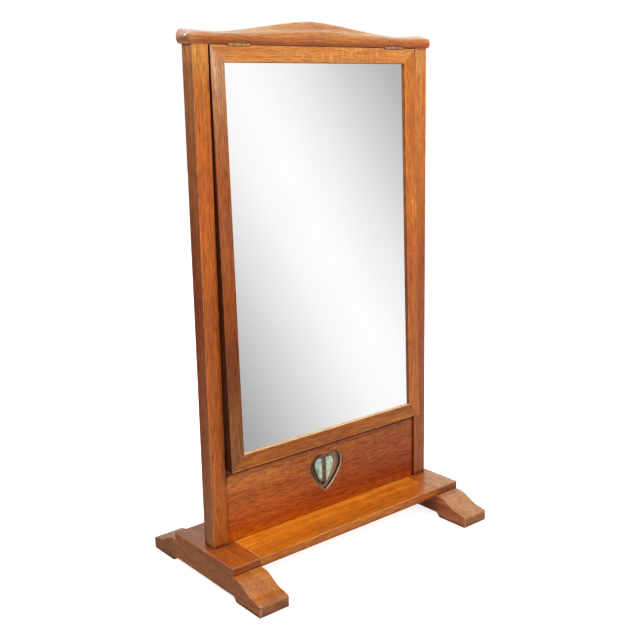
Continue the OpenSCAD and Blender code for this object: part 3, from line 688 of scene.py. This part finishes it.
def on_foot(face):
    """1 on the sides and ends of a foot, 2 on the steps under the shelf board's edges."""
    if abs(face.normal.y) > 0.9 and abs(face.calc_center_median().y) < FOOT_END - 20 * MM:
        return 2
    return abs(face.normal.x) > 0.7 or abs(face.normal.y) > 0.7


def on_frame_side(face):
    """The frame's outer sides, which face the posts."""
    outward = face.calc_center_median().x * math.copysign(1, face.normal.x)
    return abs(face.normal.x) > 0.7 and outward > FRAME_SIDE - 1.5 * MM


def on_sight_edge(face):
    """The bottom rail's lip where it faces up in front of the glass."""
    at = face.calc_center_median()
    return face.normal.z > 0.35 and at.z > GLASS_LOW + 2 * MM and face.normal.y < 0.2


def on_cap_end(face):
    return abs(face.normal.x) > 0.45


def on_post_side(face):
    return face.normal.x < -0.9


def on_shelf_edge(face):
    return abs(face.normal.y) > 0.7


def on_underside(face):
    return face.normal.z < -0.35


# How much an edge is eased, as a share of the width of its piece's bevel
def run(edge):
    """The direction of an edge."""
    return (edge.verts[0].co - edge.verts[1].co).normalized()


def foot_edge(middle, edge):
    """The ends are worn round, the upper arrises less so, and the joint with the shelf stays tight."""
    way = run(edge)
    if abs(middle.y) > FOOT_END - 1 * MM:
        if abs(way.z) > 0.9:
            return 0.55
        return 0.75 if middle.z > 5 * MM else 0.6
    if middle.z > SHELF_TOP - 1 * MM:
        return 0.08 if abs(way.y) > 0.9 and abs(middle.x) < SEAM + 1 * MM else 0.45
    if abs(way.x) > 0.9 or middle.z < 8 * MM:
        return 0.1
    return 0.35


def post_edge(middle, edge):
    """The arris beside the mirror stays tight."""
    return 0.15 if abs(middle.x) < POST_IN + 1 * MM else 1.0


def frame_edge(middle, edge):
    """The mitres and the arrises at the back and right under the cap stay tight."""
    mitre = abs(abs(run(edge).x) - math.sqrt(0.5)) < 0.05
    if any(face.normal.y > 0.9 for face in edge.link_faces):
        return 0.1
    return 0.22 if mitre or middle.z > FRAME_TOP - 1.5 * MM else 1.0


def panel_edge(middle, edge):
    """The opening's front arris is eased, and its back one, behind the board, is left as cut."""
    if not in_opening(middle):
        return 0.5
    return 0.0 if middle.y > PANEL_HIGH.y - 1 * MM else 1.0


# Wooden pieces: those with more than one kind of wood, and then the width of each one's bevel
other_wood = {
    "left_foot": ((left_side, left_step), on_foot),
    "right_foot": ((right_side, right_step), on_foot),
    "shelf": ((shelf_edge,), on_shelf_edge),
    "left_post": ((post_side,), on_post_side),
    "lower_panel": ((heart_wall(), panel_back), on_panel),
    # The top rail's underside and the stiles' outer sides take painted shade
    "frame_top_rail": ((shaded_edge,), on_underside),
    # The bottom rail's lip is pale rubbed wood with painted light from above
    "frame_bottom_rail": ((rubbed_lit_edge,), on_sight_edge),
    "frame_left_stile": ((shaded_edge,), on_frame_side),
    "frame_right_stile": ((shaded_edge,), on_frame_side),
}
for source, body, width, at_edge in (
        ("left_foot", "stand", 4.0 * MM, foot_edge),
        ("right_foot", "stand", 4.0 * MM, foot_edge),
        ("shelf", "stand", 0.8 * MM, None),
        ("left_post", "stand", 0.8 * MM, post_edge),
        ("right_post", "stand", 0.8 * MM, post_edge),
        ("lower_panel", "stand", 1.4 * MM, panel_edge),
        ("frame_top_rail", "mirror_frame", 0.8 * MM, frame_edge),
        ("frame_bottom_rail", "mirror_frame", 0.8 * MM, frame_edge),
        ("frame_left_stile", "mirror_frame", 0.8 * MM, frame_edge),
        ("frame_right_stile", "mirror_frame", 0.8 * MM, frame_edge)):
    slot = "frame_oak" if body == "mirror_frame" else "oak"
    others, picks = other_wood.get(source, ((), None))
    rounded(source + "_wood", source, body, (wood[source], *others), width, at_edge, picks=picks)

# The cap comes rounded from the CAD model. Two rings of points near each end bound the shading there.
CAP_RINGS = (8.0 * MM, 9.5 * MM)
rounded("cap_rail_wood", "cap_rail", "stand", (wood["cap_rail"], cap_end), 0.0, picks=on_cap_end,
        cuts=[side * (CAP_END - ring) for side in (-1, 1) for ring in CAP_RINGS])

# Glass, and the boards behind it and behind the plaque
backboard = oak("dry_backboard", "z", 12, *DRY_OAK, fleck=0.0, wear=(150, 120, 86), coat=0.0, rough=0.75)
# The plaque board darkens towards the left of the opening: painted shade in the recess
board_front = oak("dry_plaque_board", "x", 13, *BOARD_OAK, fleck=0.0, wear=BOARD_WEAR, coat=0.0, rough=0.7,
                  tints=(("x", 0.004, -0.017, (0.36, 0.26, 0.21)),))
board_back = oak("dry_plaque_back", "x", 18, *DRY_OAK, fleck=0.0, wear=BOARD_WEAR, coat=0.0, rough=0.75)
rounded("glass_pane", "mirror_glass", "mirror_frame", (silvered_glass(),), 0.3 * MM, segments=2)
rounded("backboard_wood", "frame_backboard", "mirror_frame", (backboard,), 0.4 * MM)
rounded("plaque_board_wood", "plaque_backing", "stand", (board_front, board_back), 0.6 * MM,
        picks=on_back)

# Metal and keys
brass_left = aged_metal("brass_left", (250, 204, 146), (216, 164, 98), 0.30, 0.3)
brass_right = aged_metal("brass_right", (236, 192, 162), (204, 156, 124), 0.34, 0.8)
steel = aged_metal("dull_steel", (120, 116, 110), (70, 62, 54), 0.4, 0.5)
key_wood = oak("oak_keys", "x", 14, *RAIL_OAK)
for source, body, material, slot in (
        ("left_hinge_cap_leaf", "stand", brass_left, "brass"),
        ("right_hinge_cap_leaf", "stand", brass_right, "brass"),
        ("left_hinge_frame_leaf", "mirror_frame", brass_left, "brass"),
        ("right_hinge_frame_leaf", "mirror_frame", brass_right, "brass"),
        ("plaque_backing_pins", "stand", brass_left, "brass"),
        ("post_screws", "stand", steel, "steel"),
        ("backboard_sprigs", "mirror_frame", steel, "steel"),
        ("frame_corner_keys", "mirror_frame", key_wood, "frame_oak")):
    rounded(source + "_piece", source, body, (material,), 0.12 * MM, segments=2)

# Pins and screws that keep their CAD shapes
for source, material in (("left_hinge_pin", brass_left), ("right_hinge_pin", brass_right),
                         ("hinge_cap_screws", brass_left), ("hinge_frame_screws", brass_left)):
    nodes[source].data.materials.clear()
    nodes[source].data.materials.append(material)


# Plaque
# Radius of the lobes and thickness of the flat edge under the domes, in millimetres
PLAQUE_LOBE, PLAQUE_BASE = 10.0, 1.4
# Radius of the flanks as a share of the height, steps in each arc of the outline, and rings in a dome
FLANK_SHARE, ARC_STEPS, DOME_RINGS = 1.25, 28, 10
# The higher this power, the fuller the domes
DOME_POWER = 2.6
# How brown the back edge, the front edge and the first ring inside it are
RIM_WEAR = [0.9, 0.9, 0.275] + [0.0] * (DOME_RINGS - 1)


def arc(centre_x, centre_z, radius, start, end):
    """Points along an arc, both ends included."""
    angles = [start + (end - start) * i / ARC_STEPS for i in range(ARC_STEPS + 1)]
    return [(centre_x + radius * math.cos(a), centre_z + radius * math.sin(a)) for a in angles]


def half_heart(width, height, lobe, flank):
    """Left half of the heart outline, from its tip to the notch, in millimetres. It has an arc of the radius
    flank from the tip and one of the radius lobe after it, which meet smoothly."""
    lobe_x, lobe_z = lobe - width / 2, height - lobe
    reach = math.hypot(lobe_x, lobe_z)
    swing = math.acos((reach * reach + flank * flank - (flank - lobe) ** 2) / (2 * reach * flank))
    towards = math.atan2(lobe_z, lobe_x) - swing
    flank_x, flank_z = flank * math.cos(towards), flank * math.sin(towards)
    join = math.atan2(lobe_z - flank_z, lobe_x - flank_x)
    notch = math.acos(-lobe_x / lobe) - 2 * math.pi
    rise = arc(flank_x, flank_z, flank, towards + math.pi, join + 2 * math.pi)
    return rise + arc(lobe_x, lobe_z, lobe, join, notch)[1:]


def plaque():
    """The glazed plaque. Each half of the heart is a dome of rings that shrink to a point, on a flat back."""
    width, height = (PLAQUE_HIGH.x - PLAQUE_LOW.x) / MM, (PLAQUE_HIGH.z - PLAQUE_LOW.z) / MM
    rise = (PLAQUE_HIGH.y - PLAQUE_LOW.y) / MM - PLAQUE_BASE
    outline = half_heart(width, height, PLAQUE_LOBE, FLANK_SHARE * height)
    crown_x, crown_z = -0.25 * width, 0.55 * height
    mesh = bpy.data.meshes.new("plaque")
    bm = bmesh.new()
    layer = bm.loops.layers.float.new("wear")
    for side in (-1, 1):
        rings = []
        for k in range(DOME_RINGS + 1):
            share = 1.0 - k / DOME_RINGS
            y = PLAQUE_HIGH.y - (PLAQUE_BASE + rise * math.sqrt(1.0 - share ** DOME_POWER)) * MM
            rings.append([bm.verts.new((-side * (crown_x + (x - crown_x) * share) * MM, y,
                                        PLAQUE_LOW.z + (crown_z + (z - crown_z) * share) * MM))
                          for x, z in outline])
        back = [bm.verts.new((v.co.x, PLAQUE_HIGH.y, v.co.z)) for v in rings[0]]
        for k, (low, high) in enumerate(zip([back] + rings, rings)):
            for i in range(len(outline)):
                j = (i + 1) % len(outline)
                face = bm.faces.new((low[i], low[j], high[j], high[i]))
                for loop in face.loops:
                    loop[layer] = RIM_WEAR[k] if loop.vert in low else RIM_WEAR[k + 1]
        bm.faces.new(back if side > 0 else back[::-1])
    bmesh.ops.remove_doubles(bm, verts=bm.verts, dist=0.001 * MM)
    bmesh.ops.recalc_face_normals(bm, faces=bm.faces)
    bm.to_mesh(mesh)
    bm.free()
    mesh.materials.append(patina_glaze())
    place("heart_plaque_glazed", mesh, "stand", "heart_plaque", sharp_from=50.0)


plaque()

# What the mirror shows in the photograph's view: a soft gradient, pale along one diagonal and grey beside it
MIRROR_TILT = math.radians(1.29)
DIAGONAL_PX = ((231.0, 66.0), (405.0, 402.0))
# Screen grey by distance across the diagonal, in picture widths, with the diagonal itself at 0.5
DIAGONAL_GREYS = (
    (0.04, 110), (0.17, 140), (0.24, 166), (0.265, 174), (0.33, 205), (0.395, 233), (0.45, 250),
    (0.50, 255), (0.53, 252), (0.59, 238), (0.66, 210), (0.72, 184), (0.76, 180), (0.82, 235))
# Direction of each softbox, then the cosines and the strength of its halo and of its bright middle
SOFTBOXES = (((-0.04, 0.16, 0.98), (0.90, 0.96, 2.6), (0.970, 0.985, 8.0)),
             ((-0.69, 0.34, 0.64), (0.80, 0.93, 2.6), (0.935, 0.975, 15.0)))


def mirrored(way):
    """A direction as the mirror turns it."""
    normal = Vector((0.0, -math.cos(MIRROR_TILT), math.sin(MIRROR_TILT)))
    return way - 2 * way.dot(normal) * normal


def across_diagonal():
    """A vector whose dot product with a direction, over that direction's share ahead, is how many pixels it
    lies off the diagonal in the mirror."""
    (u0, v0), (u1, v1) = DIAGONAL_PX
    length = math.hypot(u1 - u0, v1 - v0)
    across_u, across_v = (v1 - v0) / length, -(u1 - u0) / length
    offset = (CENTRE_PX[0] - u0) * across_u + (CENTRE_PX[1] - v0) * across_v
    return (mirrored(right) * across_u - mirrored(top) * across_v) * FOCAL_PX + mirrored(ahead) * offset


def gradient(tree, way):
    """The gradient by direction, with plain greys beyond the picture and a dark floor below."""
    forward = math_node(tree, "MAXIMUM", dot(tree, way, tuple(mirrored(ahead))), 0.15)
    pixels = math_node(tree, "DIVIDE", dot(tree, way, tuple(across_diagonal())), forward)
    distance = math_node(tree, "DIVIDE", pixels, PICTURE_PX)
    stops = tuple((at, rgb(level, level, level)) for at, level in DIAGONAL_GREYS)
    greys = ramp(tree, plus(tree, distance, 0.5, clamp=True), stops)
    x, _, z = split(tree, way)
    beyond = blend(tree, span(tree, x, -0.4, 0.4), (0.40, 0.41, 0.42, 1), grey(0.92))
    front = blend(tree, span(tree, distance, -0.75, -0.48, 1.0, 0.0), greys, beyond)
    return blend(tree, span(tree, z, -0.46, -0.36, 0.8, 0.0), front, grey(0.02))


def studio(tree):
    """What gloss sees: the gradient in front, a pale wall over a dim floor behind, and softboxes above."""
    way = add(tree, "ShaderNodeTexCoord").outputs["Generated"]
    _, y, z = split(tree, way)
    wall = blend(tree, span(tree, z, -0.10, 0.16, 0.25, 0.95), grey(0), grey(1))
    room = blend(tree, span(tree, y, -0.12, 0.12), gradient(tree, way), wall)
    room = blend(tree, span(tree, z, 0.60, 0.84), room, grey(1.3))
    room = blend(tree, span(tree, z, -0.66, -0.58, 1.0, 0.0), room, grey(0.55))
    for direction, *rings in SOFTBOXES:
        towards = dot(tree, way, tuple(Vector(direction).normalized()))
        for start, end, strength in rings:
            room = blend(tree, span(tree, towards, start, end), room, grey(strength))
    return room


# Floor, background and lamps
FLOOR_HALF, FLOOR_Z = 6.0, -0.4 * MM


def for_ray(tree, kind, usual, special):
    """The special shader for one kind of ray, and the usual one for all others."""
    rays = add(tree, "ShaderNodeLightPath").outputs
    return add(tree, "ShaderNodeMixShader", {0: rays[kind], 1: usual, 2: special}).outputs[0]


def floor_paper():
    """White paper, lifted to the background's white for the camera and left out of reflections."""
    material = bpy.data.materials.new("floor_paper")
    material.use_nodes = True
    tree = material.node_tree
    tree.nodes.clear()
    plain = add(tree, "ShaderNodeBsdfDiffuse", {"Color": grey(0.8)}).outputs[0]
    lift = add(tree, "ShaderNodeEmission", {"Color": grey(1), "Strength": 0.84}).outputs[0]
    shown = add(tree, "ShaderNodeAddShader", {0: plain, 1: lift}).outputs[0]
    clear = add(tree, "ShaderNodeBsdfTransparent").outputs[0]
    mixed = for_ray(tree, "Is Camera Ray", plain, shown)
    mixed = for_ray(tree, "Is Glossy Ray", mixed, clear)
    add(tree, "ShaderNodeOutputMaterial", {"Surface": mixed})
    return material


def studio_world():
    """A warm even light, a white background, and the studio for gloss."""
    world = bpy.data.worlds.new("studio")
    bpy.context.scene.world = world
    world.use_nodes = True
    tree = world.node_tree
    tree.nodes.clear()
    even, seen, sheen = (
        add(tree, "ShaderNodeBackground", {"Color": colour, "Strength": strength}).outputs[0]
        for colour, strength in (((1.0, 0.985, 0.97, 1), 0.55), (grey(1), 1.0), (studio(tree), 1.0)))
    mixed = for_ray(tree, "Is Glossy Ray", even, sheen)
    mixed = for_ray(tree, "Is Transmission Ray", mixed, seen)
    mixed = for_ray(tree, "Is Camera Ray", mixed, seen)
    add(tree, "ShaderNodeOutputWorld", {"Surface": mixed})


def lamp(name, at, towards, size, power, colour):
    """A soft square lamp that isn't seen itself."""
    data = bpy.data.lights.new(name, "AREA")
    data.shape = "RECTANGLE"
    data.size = data.size_y = size
    data.energy = power
    data.color = colour
    light = new_object(name, data)
    turned = (Vector(at) - Vector(towards)).to_track_quat("Z", "Y").to_matrix().to_4x4()
    light.matrix_world = Matrix.Translation(Vector(at)) @ turned
    light.visible_camera = False
    light.visible_glossy = False


floor_mesh = bpy.data.meshes.new("floor")
corners = [(x * FLOOR_HALF, y * FLOOR_HALF, FLOOR_Z) for x, y in ((-1, -1), (1, -1), (1, 1), (-1, 1))]
floor_mesh.from_pydata(corners, [], [(0, 1, 2, 3)])
floor_mesh.materials.append(floor_paper())
floor = new_object("floor", floor_mesh)

studio_world()
lamp("key", (0.9, -1.5, 1.7), (0, 0, 0.4), 1.2, 26, (1.0, 0.98, 0.95))
lamp("overhead", (0.0, -0.3, 2.1), (0, 0, 0), 1.6, 20, (1.0, 0.99, 0.97))
lamp("back", (0.2, 1.7, 1.5), (0, 0, 0.4), 1.4, 10, (1, 1, 1))

bpy.context.scene.view_settings.view_transform = "Standard"
